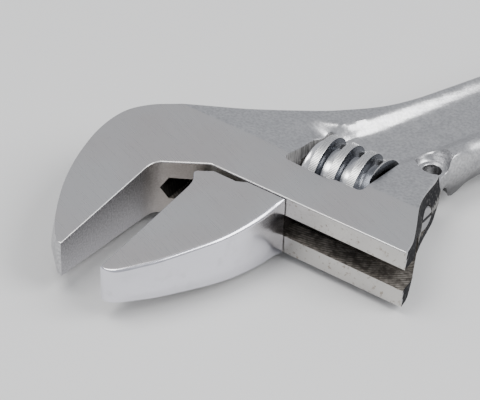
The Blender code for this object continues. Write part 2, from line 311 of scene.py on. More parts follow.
def fan(start: int, count: int, centre: int, turned: bool) -> Array:
    """Triangles from a ring of points to one centre point.

    Args:
        start: index of the ring's first point.
        count: points in the ring.
        centre: index of the centre point.
        turned: whether the faces look the other way.

    Returns:
        One row of three indices for each triangle.
    """
    j = np.arange(count)
    k = (j + 1) % count
    c = np.full(count, centre)
    order = (start + k, start + j, c) if turned else (start + j, start + k, c)
    return np.stack(order, 1)


def turned_solid(name: str, profile: Array, y: float, sides: int, smooth_below: float = SMOOTH) -> Piece:
    """Solid of revolution about a line along X: each point of the profile runs round a circle.

    Args:
        name: the object's name.
        profile: (x, radius) rows from the left end to the right end.
        y: where the line lies.
        sides: points round the circle.
        smooth_below: shading angle in degrees.

    Returns:
        The object.
    """
    t = (np.arange(sides) + 0.5) * 2 * np.pi / sides
    x = np.repeat(profile[:, 0], sides)
    r = profile[:, 1][:, None]
    verts = np.stack([x, (y + r * np.cos(t)).ravel(), (r * np.sin(t)).ravel()], 1)
    ends = np.array([[profile[0, 0], y, 0.0], [profile[-1, 0], y, 0.0]])
    rows = len(profile)
    body = grid_quads(rows, sides, True)[:, ::-1]
    last = rows * sides
    caps = [fan(0, sides, last, False), fan(last - sides, sides, last + 1, True)]
    return write_mesh(name, np.vstack([verts, ends]), [body, np.vstack(caps)], smooth_below)


def block(name: str, low: Triple, high: Triple) -> Piece:
    """Closed box between two corners, used only as a tool to cut or join.

    Args:
        name: the object's name.
        low: its corner at the lowest x, y and z.
        high: the opposite corner.

    Returns:
        The object.
    """
    x, y, z = (np.array([a, b]) for a, b in zip(low, high))
    verts = np.array([(i, j, k) for k in z for j in y for i in x])
    ends = [(0, 2, 3, 1), (4, 5, 7, 6)]
    sides = [(0, 1, 5, 4), (2, 6, 7, 3), (0, 4, 6, 2), (1, 3, 7, 5)]
    return write_mesh(name, verts, [np.array(ends + sides)])


class Join(Enum):
    """What a tool solid does to a piece."""

    CUT = "DIFFERENCE"
    ADD = "UNION"


def combine(obj: Piece, tools: list[tuple[Join, Piece]]) -> None:
    """Cuts or adds each tool solid in turn, then removes the tools.

    Args:
        obj: the piece that is changed.
        tools: what to do and with which solid, in order.
    """
    for kind, tool in tools:
        modifier = obj.modifiers.new(tool.name, "BOOLEAN")
        modifier.operation = kind.value
        modifier.solver = "EXACT"
        modifier.object = tool
    bpy.context.view_layer.update()
    made = bpy.data.meshes.new_from_object(obj.evaluated_get(bpy.context.evaluated_depsgraph_get()))
    obj.modifiers.clear()
    old = obj.data
    obj.data = made
    bpy.data.meshes.remove(old)
    for _, tool in tools:
        bpy.data.objects.remove(tool)


def face_facts(obj: Piece) -> tuple[Array, Array]:
    """Centres in millimetres and unit normals of an object's faces, one row each.

    Args:
        obj: the object whose faces are read.

    Returns:
        The centres and the normals.
    """
    mesh = obj.data
    centres = np.empty(len(mesh.polygons) * 3, np.float32)
    normals = np.empty(len(mesh.polygons) * 3, np.float32)
    mesh.polygons.foreach_get("center", centres)
    mesh.polygons.foreach_get("normal", normals)
    return centres.reshape(-1, 3) / MM, normals.reshape(-1, 3)


def face_out(obj: Piece) -> None:
    """Turns a closed solid's faces outwards if its volume comes out negative.

    Args:
        obj: the solid to turn.
    """
    mesh = obj.data
    mesh.calc_loop_triangles()
    corners = np.empty(len(mesh.loop_triangles) * 3, np.int32)
    mesh.loop_triangles.foreach_get("vertices", corners)
    places = np.empty(len(mesh.vertices) * 3, np.float32)
    mesh.vertices.foreach_get("co", places)
    tri = places.reshape(-1, 3)[corners].reshape(-1, 3, 3)
    if np.linalg.det(tri).sum() < 0:
        mesh.flip_normals()


@dataclass
class Plate:
    """Solid with two mirrored faces whose height is a function of (x, y).

    Near a loop the face turns down in a quarter circle of that loop's rounding, then the side
    runs to the other face with the loop's bulge.
    """

    name: str
    outline: Loop
    holes: list[Loop]
    form: SideForm
    grain: float
    creases: list[Array] = field(default_factory=list)
    corner_steps: int = 7
    side_steps: int = 9

    def height(self, x: Array, y: Array) -> Array:
        """Half the thickness at each point; a kind of plate gives its own."""
        raise NotImplementedError

    def rings(self, loop: Loop) -> Array:
        """Rings of points from the upper face down to the lower one along one loop.

        The turn is (rounding x (1 - sin t), rounding x (1 - cos t)) inwards and down, and the side
        moves outwards by the bulge times the side form's share.

        Args:
            loop: the loop to follow.

        Returns:
            An array of rings, points and coordinates.
        """
        out = loop.outward()
        t = np.linspace(0, np.pi / 2, self.corner_steps)
        upper = []
        for a in t:
            flat = loop.points - out * (loop.rounding * (1 - np.sin(a)))[:, None]
            z = self.height(flat[:, 0], flat[:, 1]) - loop.rounding * (1 - np.cos(a))
            upper.append(np.column_stack([flat, z]))
        shoulder = upper[-1][:, 2]
        side = []
        for f in np.linspace(1, -1, self.side_steps)[1:-1]:
            flat = loop.points + out * (loop.bulge * self.form.swell(np.array(f)))[:, None]
            side.append(np.column_stack([flat, shoulder * f]))
        lower = [ring * (1, 1, -1) for ring in reversed(upper)]
        return np.array(upper + side + lower)

    def clear_of(self, points: Array, loops: list[Array], margin: float) -> Array:
        """Points that lie in the face and further than a margin from its outline and holes.

        Args:
            points: points to choose from, one row each.
            loops: outline first, then the holes.
            margin: least distance in millimetres.

        Returns:
            The points that are kept.
        """
        keep = inside(points, loops[0])
        for hole in loops[1:]:
            keep &= ~inside(points, hole)
        points = points[keep]
        return points[np.min([distance_to(points, loop) for loop in loops], 0) > margin]

    def grid_points(self, loops: list[Array]) -> Array:
        """Points in rows offset by half a step, kept where they are in the face and clear of its lines.

        Args:
            loops: outline first, then the holes.

        Returns:
            The points, one row each.
        """
        low, high = loops[0].min(0), loops[0].max(0)
        step, margin = self.grain, self.grain * 0.55
        x, y = np.meshgrid(np.arange(low[0], high[0], step), np.arange(low[1], high[1], step * 0.87))
        x = x + (np.arange(len(x)) % 2)[:, None] * step / 2
        points = self.clear_of(np.stack([x.ravel(), y.ravel()], 1), loops, margin)
        for line in self.creases:
            points = points[distance_to(points, line) > margin]
        return points

    def build(self, smooth_below: float = SMOOTH) -> Piece:
        """Builds the closed mesh: the rings of every loop, and both faces filled with triangles.

        Args:
            smooth_below: shading angle in degrees.

        Returns:
            The object.
        """
        loops = [self.outline, *self.holes]
        stacks = [self.rings(loop) for loop in loops]
        tops = [stack[0][:, :2] for stack in stacks]
        filling = self.grid_points(tops)
        creases = [self.clear_of(line, tops, 0.4 * self.grain) for line in self.creases]
        flat = np.vstack([*tops, *creases, filling])
        edges, around, start = [], [], 0
        for top in tops:
            i = start + np.arange(len(top))
            edges.append(np.stack([i, np.roll(i, -1)], 1))
            around.append(i[::-1].tolist() if start else i.tolist())
            start += len(top)
        for line in creases:
            i = start + np.arange(len(line))
            near = np.linalg.norm(np.diff(line, axis=0), axis=1) < 1.5 * self.grain
            edges.append(np.stack([i[:-1], i[1:]], 1)[near])
            start += len(line)
        places = [Vector(p) for p in flat.tolist()]
        found = delaunay_2d_cdt(places, np.vstack(edges).tolist(), around, 1, 1e-7)
        if len(found[0]) != len(flat):
            raise ValueError(f"{self.name}: the face's loops cross each other")
        source = np.array([origins[0] for origins in found[3]])
        solid = np.array([len(owners) == 1 for owners in found[5]])
        triangles = source[np.array(found[2])][solid]
        top_of, bottom_of, verts, faces, base = [], [], [], [], 0
        for stack in stacks:
            rows, count = stack.shape[:2]
            verts.append(stack.reshape(-1, 3))
            faces.append(base + grid_quads(rows, count, True))
            top_of.append(base + np.arange(count))
            bottom_of.append(base + (rows - 1) * count + np.arange(count))
            base += rows * count
        loose = flat[sum(len(top) for top in tops) :]
        z = self.height(loose[:, 0], loose[:, 1])
        for side, where in ((1, top_of), (-1, bottom_of)):
            verts.append(np.column_stack([loose, side * z]))
            where.append(base + np.arange(len(loose)))
            base += len(loose)
        upper = np.concatenate(top_of)[triangles]
        lower = np.concatenate(bottom_of)[triangles][:, ::-1]
        quads = np.vstack(faces)[:, ::-1]
        sides = [quads[:, [0, 1, 2]], quads[:, [0, 2, 3]]]
        return write_mesh(self.name, np.vstack(verts), [*sides, upper, lower], smooth_below)


# ---------------------------------------------------------------- finishes


class Recipe:
    """Builds one node material around its Principled shader."""

    def __init__(self, name: str) -> None:
        """Makes an empty metal-ready material with a name.

        Args:
            name: the material's name.
        """
        self.material = bpy.data.materials.new(name)
        self.material.use_nodes = True
        self.tree = self.material.node_tree
        self.shader = self.tree.nodes["Principled BSDF"]

    def set(self, **values: float | Colour) -> None:
        """Sets plain values on the shader's own sockets, with _ for each space in a socket's name.

        Args:
            values: a number or colour for each socket's name.
        """
        for key, value in values.items():
            socket = self.shader.inputs[key.replace("_", " ")]
            socket.default_value = (*value, 1.0) if isinstance(value, tuple) else value

    def join(self, value: object, socket: Socket) -> None:
        """Links a socket, or sets a number or colour on it.

        Args:
            value: a socket, a number or a colour.
            socket: the input that takes it.
        """
        if isinstance(value, Socket):
            self.tree.links.new(value, socket)
        elif isinstance(value, tuple) and len(value) == 3 and socket.type == "RGBA":
            socket.default_value = (*value, 1.0)
        else:
            socket.default_value = value

    def place(self, scale: Triple = (1, 1, 1), turn: float = 0.0) -> Socket:
        """Object coordinates in millimetres, stretched along each axis and turned about Z.

        Args:
            scale: stretch along each axis.
            turn: turn about Z in radians.

        Returns:
            The coordinates.
        """
        source = self.tree.nodes.new("ShaderNodeTexCoord")
        first = self.tree.nodes.new("ShaderNodeMapping")
        first.inputs["Rotation"].default_value = (0, 0, turn)
        first.inputs["Scale"].default_value = (1 / MM, 1 / MM, 1 / MM)
        self.tree.links.new(source.outputs["Object"], first.inputs["Vector"])
        second = self.tree.nodes.new("ShaderNodeMapping")
        second.inputs["Scale"].default_value = scale
        self.tree.links.new(first.outputs["Vector"], second.inputs["Vector"])
        return second.outputs["Vector"]

    def axis(self, name: str) -> Socket:
        """Object coordinate in millimetres along the axis X, Y or Z.

        Args:
            name: the axis's letter.

        Returns:
            The coordinate.
        """
        split = self.tree.nodes.new("ShaderNodeSeparateXYZ")
        self.tree.links.new(self.place(), split.inputs[0])
        return split.outputs[name]

    def noise(self, where: Socket, scale: float, detail: float = 2.0) -> Socket:
        """Fractal noise from 0 to 1, with scale waves to the millimetre.

        Args:
            where: the coordinates it reads.
            scale: waves to the millimetre.
            detail: how many finer layers it has.

        Returns:
            The noise.
        """
        node = self.tree.nodes.new("ShaderNodeTexNoise")
        node.inputs["Scale"].default_value = scale
        node.inputs["Detail"].default_value = detail
        self.tree.links.new(where, node.inputs["Vector"])
        return node.outputs["Fac"]

    def remap(self, value: object, low: float, high: float, to_low: float, to_high: float) -> Socket:
        """Value taken from one range to another and held at its ends.

        Args:
            value: the value to map.
            low: start of the range it comes from.
            high: end of that range.
            to_low: start of the range it goes to.
            to_high: end of that range.

        Returns:
            The mapped value.
        """
        node = self.tree.nodes.new("ShaderNodeMapRange")
        self.join(value, node.inputs["Value"])
        numbers = {"From Min": low, "From Max": high, "To Min": to_low, "To Max": to_high}
        for key, number in numbers.items():
            node.inputs[key].default_value = number
        return node.outputs["Result"]

    def sum(self, kind: str, a: object, b: object) -> Socket:
        """Math of two values, of the kind named by Blender.

        Args:
            kind: the operation, such as ADD.
            a: first value.
            b: second value.

        Returns:
            The result.
        """
        node = self.tree.nodes.new("ShaderNodeMath")
        node.operation = kind
        self.join(a, node.inputs[0])
        self.join(b, node.inputs[1])
        return node.outputs[0]

    def mix(self, share: object, a: object, b: object) -> Socket:
        """Colour between a and b by a share from 0 to 1.

        Args:
            share: 0 for a, 1 for b.
            a: first colour.
            b: second colour.

        Returns:
            The colour.
        """
        node = self.tree.nodes.new("ShaderNodeMix")
        node.data_type = "RGBA"
        self.join(share, node.inputs["Factor"])
        self.join(a, node.inputs[6])
        self.join(b, node.inputs[7])
        return node.outputs[2]

    def bump(self, height: object, depth_mm: float) -> Socket:
        """Normal tilted by a height from 0 to 1 that stands for a depth in millimetres.

        Args:
            height: the height.
            depth_mm: depth in millimetres that a height of 1 stands for.

        Returns:
            The normal.
        """
        node = self.tree.nodes.new("ShaderNodeBump")
        node.inputs["Strength"].default_value = 1.0
        node.inputs["Distance"].default_value = depth_mm * MM
        self.join(height, node.inputs["Height"])
        return node.outputs["Normal"]

    def finish(self, colour: object, roughness: object, normal: object = None) -> bpy.types.Material:
        """Joins colour, roughness and normal to the shader and returns the material.

        Args:
            colour: base colour.
            roughness: roughness.
            normal: tilted normal, or None for the plain one.

        Returns:
            The material.
        """
        self.join(colour, self.shader.inputs["Base Color"])
        self.join(roughness, self.shader.inputs["Roughness"])
        if normal is not None:
            self.join(normal, self.shader.inputs["Normal"])
        return self.material


@dataclass(frozen=True)
class GroundFace:
    """Plated face ground flat: fine parallel lines and faint warm blotches."""

    name: str = "ground_face"
    light: Colour = (0.66, 0.655, 0.655)
    warm: Colour = (0.645, 0.62, 0.615)
    speck: Colour = (0.3, 0.29, 0.28)
    roughness: float = 0.30
    line_angle: float = 0.35

    def material(self) -> bpy.types.Material:
        """Makes the material.

        Returns:
            The material.
        """
        made = Recipe(self.name)
        made.set(Metallic=1.0)
        blotch = made.remap(made.noise(made.place(), 0.045, 3.0), 0.45, 0.62, 0.0, 1.0)
        speck = made.remap(made.noise(made.place(), 0.9, 4.0), 0.62, 0.74, 0.0, 0.12)
        colour = made.mix(speck, made.mix(blotch, self.light, self.warm), self.speck)
        lines = made.noise(made.place((0.12, 5.0, 1.0), self.line_angle), 1.0, 3.0)
        rough = made.remap(lines, 0.3, 0.7, self.roughness - 0.035, self.roughness + 0.035)
        return made.finish(colour, rough, made.bump(lines, 0.0035))


@dataclass(frozen=True)
class BlastedChrome:
    """Plated face shot-blasted first: a fine even sparkle of small dents."""

    name: str = "blasted_chrome"
    light: Colour = (0.66, 0.66, 0.67)
    dark: Colour = (0.50, 0.50, 0.51)
    roughness: float = 0.34
    dent: float = 0.030
    soot_and_shade: float = 0.0
    painted_shade: Colour = (0.05, 0.05, 0.052)

    def material(self) -> bpy.types.Material:
        """Makes the material, whose painted shade darkens its lower half, and more so from Y 25 to Y 60.

        Returns:
            The material.
        """
        made = Recipe(self.name)
        made.set(Metallic=1.0)
        grain = made.noise(made.place(), 1.5, 3.0)
        coarse = made.noise(made.place(), 0.25, 3.0)
        colour = made.mix(made.remap(grain, 0.35, 0.65, 0.0, 1.0), self.dark, self.light)
        # painted shade: a dark share that grows towards the lower face and from Y 25 to Y 60
        painted_shade = made.remap(made.axis("Z"), -3.5, 4.0, self.soot_and_shade, 0.0)
        painted_shade = made.sum("MULTIPLY", painted_shade, made.remap(made.axis("Y"), 25.0, 60.0, 0.0, 1.0))
        colour = made.mix(painted_shade, colour, self.painted_shade)
        rough = made.remap(coarse, 0.35, 0.65, self.roughness - 0.04, self.roughness + 0.05)
        height = made.sum("ADD", grain, made.sum("MULTIPLY", coarse, 0.8))
        return made.finish(colour, rough, made.bump(height, self.dent))


@dataclass(frozen=True)
class GripFace:
    """Jaw's gripping face: close dull grain, a little violet, with small pale and dark points."""

    name: str = "grip_face"
    light: Colour = (0.52, 0.515, 0.53)
    dark: Colour = (0.26, 0.255, 0.265)
    sheen_and_wear: Colour = (0.80, 0.79, 0.83)
    throat: Colour = (0.58, 0.52, 0.46)
    roughness: float = 0.44

    def material(self) -> bpy.types.Material:
        """Makes the material, with a painted sheen that lightens the face towards its lower side.

        Returns:
            The material.
        """
        made = Recipe(self.name)
        made.set(Metallic=1.0)
        grain = made.noise(made.place(), 2.2, 4.0)
        colour = made.mix(made.remap(grain, 0.33, 0.66, 0.0, 1.0), self.dark, self.light)
        # painted sheen: the face grows lighter towards its lower side
        sheen_and_wear = made.remap(made.axis("Z"), -7.5, 5.0, 0.55, 0.0)
        colour = made.mix(sheen_and_wear, colour, self.sheen_and_wear)
        throat = made.remap(made.axis("Y"), 13.0, 20.0, 0.0, 0.65)
        colour = made.mix(throat, colour, self.throat)
        return made.finish(colour, self.roughness, made.bump(grain, 0.05))


@dataclass(frozen=True)
class LipFace:
    """Plain machined edge: beige-grey, with scattered tiny brown pits."""

    name: str = "lip_face"
    light: Colour = (0.60, 0.585, 0.56)
    tone: Colour = (0.50, 0.49, 0.47)
    dark: Colour = (0.30, 0.25, 0.20)
    roughness: float = 0.36

    def material(self) -> bpy.types.Material:
        """Makes the material.

        Returns:
            The material.
        """
        made = Recipe(self.name)
        made.set(Metallic=1.0)
        pits = made.remap(made.noise(made.place(), 1.1, 5.0), 0.60, 0.70, 0.0, 0.8)
        tone = made.remap(made.noise(made.place(), 0.12, 2.0), 0.35, 0.65, 0.0, 0.5)
        colour = made.mix(tone, self.light, self.tone)
        colour = made.mix(pits, colour, self.dark)
        return made.finish(colour, self.roughness, made.bump(pits, -0.02))


@dataclass(frozen=True)
class MilledChannel:
    """Unplated milled steel: dark brown-grey, crossed by the arcs the cutter left."""

    name: str = "milled_channel"
    dark: Colour = (0.08, 0.07, 0.06)
    light: Colour = (0.42, 0.39, 0.35)
    arc_x: float = 30.0
    arc_y: float = 66.0
    roughness: float = 0.5

    def material(self) -> bpy.types.Material:
        """Makes the material: rings about a far centre give the cutter's arcs.

        Returns:
            The material.
        """
        made = Recipe(self.name)
        made.set(Metallic=0.6)
        where = made.place()
        shift = made.tree.nodes.new("ShaderNodeVectorMath")
        shift.operation = "SUBTRACT"
        made.tree.links.new(where, shift.inputs[0])
        shift.inputs[1].default_value = (self.arc_x, self.arc_y, 0.0)
        rings = made.tree.nodes.new("ShaderNodeTexWave")
        rings.wave_type = "RINGS"
        rings.rings_direction = "Z"
        rings.inputs["Scale"].default_value = 0.42
        rings.inputs["Distortion"].default_value = 1.2
        rings.inputs["Detail"].default_value = 3.0
        made.tree.links.new(shift.outputs[0], rings.inputs["Vector"])
        arcs = rings.outputs["Fac"]
        soot_and_shade = made.noise(where, 0.8, 5.0)
        clean = made.remap(soot_and_shade, 0.4, 0.68, 0.1, 1.0)
        share = made.sum("MULTIPLY", made.remap(arcs, 0.1, 0.9, 0.35, 1.0), clean)
        colour = made.mix(share, self.dark, self.light)
        return made.finish(colour, self.roughness, made.bump(arcs, 0.03))


@dataclass(frozen=True)
class RawForging:
    """Unfinished forged skin: nearly black and rough, pale on its high band: partly worn, partly a painted
    highlight.
    """

    name: str = "raw_forging"
    dark: Colour = (0.018, 0.018, 0.020)
    sheen_and_wear: Colour = (0.24, 0.235, 0.225)
    band: float = 0.8
    roughness: float = 0.8

    def material(self) -> bpy.types.Material:
        """Makes the material: the pale share, partly worn and partly a painted highlight, falls with the
        distance from mid-thickness.

        Returns:
            The material.
        """
        made = Recipe(self.name)
        made.set(Metallic=0.0, Specular_IOR_Level=0.05)
        away = made.sum("ABSOLUTE", made.axis("Z"), 0.0)
        grain = made.noise(made.place(), 1.2, 5.0)
        ragged = made.sum("ADD", away, made.remap(grain, 0.3, 0.7, -1.0, 1.0))
        # pale band at mid-thickness: partly worn, partly a painted highlight
        sheen_and_wear = made.remap(ragged, self.band - 0.5, self.band + 0.5, 0.85, 0.0)
        speck = made.remap(grain, 0.55, 0.72, 0.0, 0.35)
        colour = made.mix(sheen_and_wear, made.mix(speck, self.dark, self.sheen_and_wear), self.sheen_and_wear)
        return made.finish(colour, self.roughness, made.bump(grain, 0.15))


@dataclass(frozen=True)
class WindowWall:
    """Broached wall of the window: pale plate at its lip, and painted shade that darkens it further in."""

    name: str = "window_wall_shaded"
    light: Colour = (0.62, 0.61, 0.60)
    middle: Colour = (0.26, 0.255, 0.25)
    dark: Colour = (0.05, 0.05, 0.05)
    lip: float = 1.7
    roughness: float = 0.45

    def material(self) -> bpy.types.Material:
        """Makes the material: the painted shade's share grows as the wall nears mid-thickness.

        Returns:
            The material.
        """
        made = Recipe(self.name)
        made.set(Metallic=0.55)
        away = made.sum("ABSOLUTE", made.axis("Z"), 0.0)
        ridges = made.noise(made.place((0.6, 2.2, 0.25)), 1.0, 2.0)
        ragged = made.sum("ADD", away, made.remap(ridges, 0.3, 0.7, -0.3, 0.3))
        # painted shade: the wall darkens below its lip towards mid-thickness
        inner = made.remap(ragged, self.lip - 0.2, self.lip + 0.3, 1.0, 0.0)
        tone = made.mix(made.remap(ridges, 0.38, 0.55, 0.0, 1.0), self.middle, self.light)
        return made.finish(made.mix(inner, tone, self.dark), self.roughness, made.bump(ridges, 0.2))


@dataclass(frozen=True)
class BrightPlate:
    """Bright plated or polished steel with faint swirl lines."""

    name: str
    colour: Colour = (0.78, 0.78, 0.79)
    roughness: float = 0.13
    lines: Triple = (6.0, 0.3, 0.3)
    depth: float = 0.004

    def material(self) -> bpy.types.Material:
        """Makes the material.

        Returns:
            The material.
        """
        made = Recipe(self.name)
        made.set(Metallic=1.0)
        swirl = made.noise(made.place(self.lines), 1.0, 3.0)
        stain = made.remap(made.noise(made.place(), 0.35, 4.0), 0.55, 0.75, 0.0, 0.3)
        dull = tuple(0.6 * c for c in self.colour)
        rough = made.remap(swirl, 0.3, 0.7, self.roughness - 0.03, self.roughness + 0.05)
        return made.finish(made.mix(stain, self.colour, dull), rough, made.bump(swirl, self.depth))


def dress(obj: Piece, finishes: list[object], choice: Array | None = None) -> None:
    """Gives an object its materials and says which face takes which.

    Args:
        obj: the object to dress.
        finishes: the finishes, in slot order.
        choice: each face's slot, or None for the first on all.
    """
    obj.data.materials.clear()
    for finish in finishes:
        found = bpy.data.materials.get(finish.name)
        obj.data.materials.append(found or finish.material())
    if choice is not None:
        obj.data.polygons.foreach_set("material_index", choice.astype(np.int32))
    obj.data.update()


# ---------------------------------------------------------------- the wrench


@dataclass
class HeadWedge:
    """Thickness of the head: two planes that rise from the jaw tips to a ridge and fall behind it."""

    front_y: float = 25.0
    front_half: float = 8.0
    taper: float = 0.0785
    ridge_y: float = 39.0
    rear_slope: float = 0.16
    rail_half: float = 6.0

    def half(self, y: Array) -> Array:
        """Half the thickness at y: wedge plane before the ridge, falling plane or rail behind it.

        Args:
            y: places along Y.

        Returns:
            Half the thickness at each.
        """
        wedge = self.front_half + self.taper * (y - self.front_y)
        ridge = self.front_half + self.taper * (self.ridge_y - self.front_y)
        rear = soft_max(ridge - self.rear_slope * (y - self.ridge_y), np.full_like(y, self.rail_half), 0.5)
        return np.where(y <= self.ridge_y, wedge, rear)


@dataclass
class HandleAxis:
    """Line that the handle follows: it leans from +Y towards +X."""

    foot_x: float = 23.8
    foot_y: float = 25.0
    lean: float = math.radians(22.5)
    end: float = 204.0
    end_radius: float = 14.0
    half_width: float = 11.6
    waist_half_width: float = 10.9
    waist_at: float = 120.0

    def point(self, along: float, across: float) -> Point:
        """Plan position of a place given along and across the handle."""
        c, s = math.cos(self.lean), math.sin(self.lean)
        return (self.foot_x + s * along + c * across, self.foot_y + c * along - s * across)

    def split(self, x: Array, y: Array) -> tuple[Array, Array]:
        """Distances along and across the handle of places in plan.

        Args:
            x: places along X.
            y: places along Y.

        Returns:
            Distances along the handle, and across it to the right.
        """
        c, s = math.cos(self.lean), math.sin(self.lean)
        u, v = x - self.foot_x, y - self.foot_y
        return s * u + c * v, c * u - s * v

    def side(self, sign: int) -> list[Point]:
        """Points of one long side, from the head to the round end.

        Args:
            sign: 1 for the right side, -1 for the left.

        Returns:
            The points in plan.
        """
        widths = [
            (66.0, self.half_width - 0.35 * (sign - 1)), (84.0, self.half_width - 0.35 * (sign - 1)),
            (self.waist_at, self.waist_half_width - 0.2 * (sign - 1)),
            (165.0, self.half_width), (188.0, 12.9), (self.end, self.end_radius),
        ]
        return [self.point(s, sign * w) for s, w in widths]

    def round_end(self, count: int) -> Array:
        """Half circle that closes the handle, from the right side to the left.

        Args:
            count: how many points.

        Returns:
            The points, one row each.
        """
        t = np.linspace(np.pi / 2, -np.pi / 2, count)
        along = self.end + self.end_radius * np.cos(t)
        across = self.end_radius * np.sin(t)
        return np.array([self.point(a, b) for a, b in zip(along, across)])


@dataclass
class SunkPanel:
    """Shallow panel in each face of the handle, from the window to before the hanging hole.

    It blends in across the handle between an eased left bank, whose top and foot come closer
    together as the head narrows, and a right bank beside the rim.
    """

    level: Blend = Blend(3.0, 4.2, 30, 75)
    bank_top: Blend = Blend(-18.0, -10.5, 24, 34)
    bank_foot: Blend = Blend(-9.6, -6.5, 24, 42)
    right_bank: Blend = Blend(1.0, 0.0, 4.6, 9.8)
    dip: Blend = Blend(0.0, 0.22, 8, 20)
    start: Blend = Blend(0.0, 0.78, 21.5, 29.5)
    end: Blend = Blend(1.0, 0.0, 174, 184)

    def share(self, along: Array, across: Array) -> Array:
        """How far the face is sunk to the panel's level, from 0 to 1, at places on the handle.

        Args:
            along: distances along the handle.
            across: distances across it.

        Returns:
            The share at each place.
        """
        top, foot = self.bank_top.at(along), self.bank_foot.at(along)
        banks = ease(0, 1, (across - top) / (foot - top)) * self.right_bank.at(across)
        return banks * (self.dip.at(along) + self.start.at(along)) * self.end.at(along)


class BodyFace(IntEnum):
    """Material slots of the forging."""

    BLASTED = 0
    GROUND = 1
    GRIP = 2
    LIP = 3
    CHANNEL = 4
    RAW = 5
    WINDOW = 6
    SHADE = 7
    SHADED_FLANK = 8


